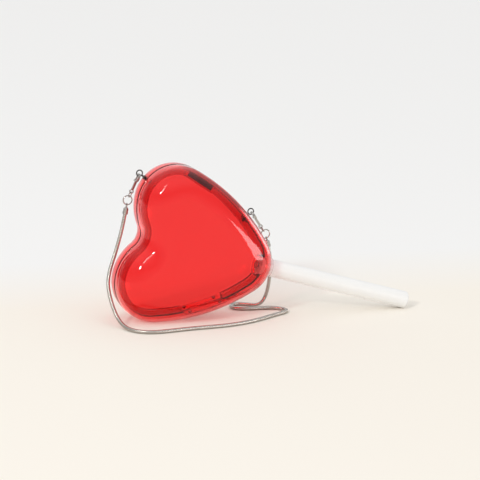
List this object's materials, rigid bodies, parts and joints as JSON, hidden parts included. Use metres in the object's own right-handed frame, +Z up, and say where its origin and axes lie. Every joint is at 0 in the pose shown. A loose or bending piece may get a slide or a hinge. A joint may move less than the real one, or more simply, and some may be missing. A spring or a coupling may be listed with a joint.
{
  "type": "heart shaped purse",
  "caption": "Clear red heart-shaped hard clutch on a white lollipop stick, hinged along its lower flank, with magnets and a clip-on snake-chain strap.",
  "frame": {"origin": "middle of the bottom of the purse without its strap, on the surface it stands on", "axes": "+X from the lobes to the stick's end, +Y to the back, +Z up"},
  "size_m": [0.3319, 0.1001, 0.1602],
  "materials": {
    "red_acrylic": "clear tinted, polished",
    "clear_pink": "clear tinted",
    "white_stick": "satin",
    "hinge_steel": "brushed",
    "magnet_nickel": "nickel plated",
    "strap_metal": "polished",
    "chain_metal": "polished"
  },
  "bodies": {
    "rear_half": {"rear_shell": "red_acrylic", "stick_socket": "clear_pink", "lollipop_stick": "white_stick", "stick_screw": "hinge_steel", "hinge_rear_leaf": "red_acrylic", "hinge_pin": "hinge_steel", "hinge_rear_screws": "hinge_steel", "rear_magnet": "magnet_nickel", "left_eyelet": "strap_metal", "right_eyelet": "strap_metal", "eyelet_washers": "strap_metal", "eyelet_nuts": "strap_metal", "left_clasp_body": "strap_metal", "left_clasp_pin": "strap_metal", "left_link": "strap_metal", "left_ring": "strap_metal", "left_end_cap": "strap_metal", "right_clasp_body": "strap_metal", "right_clasp_pin": "strap_metal", "right_link": "strap_metal", "right_ring": "strap_metal", "right_end_cap": "strap_metal", "chain_left_drop": "chain_metal", "chain_front_run": "chain_metal", "chain_tip_loops": "chain_metal", "chain_right_drop": "chain_metal"},
    "front_lid": {"front_shell": "red_acrylic", "front_magnet": "magnet_nickel", "hinge_front_leaf": "red_acrylic", "hinge_front_screws": "hinge_steel"},
    "left_gate": {"left_clasp_lever": "strap_metal"},
    "right_gate": {"right_clasp_lever": "strap_metal"}
  },
  "joints": [
    {"name": "lid_hinge", "type": "hinge", "parent": "rear_half", "child": "front_lid", "pos_m": [-0.067, 0, 0.01083], "axis": [0.9637, 0, 0.2671], "range_deg": [0, 35]},
    {"name": "left_gate_pivot", "type": "hinge", "parent": "rear_half", "child": "left_gate", "pos_m": [-0.13933, 0.0128, 0.14232], "axis": [0.9205, 0, -0.3907], "range_deg": [0, 25], "stiffness_Nm_per_rad": 0.01},
    {"name": "right_gate_pivot", "type": "hinge", "parent": "rear_half", "child": "right_gate", "pos_m": [-0.00992, 0.0128, 0.1001], "axis": [0.8141, 0, 0.5807], "range_deg": [0, 25], "stiffness_Nm_per_rad": 0.01}
  ]
}
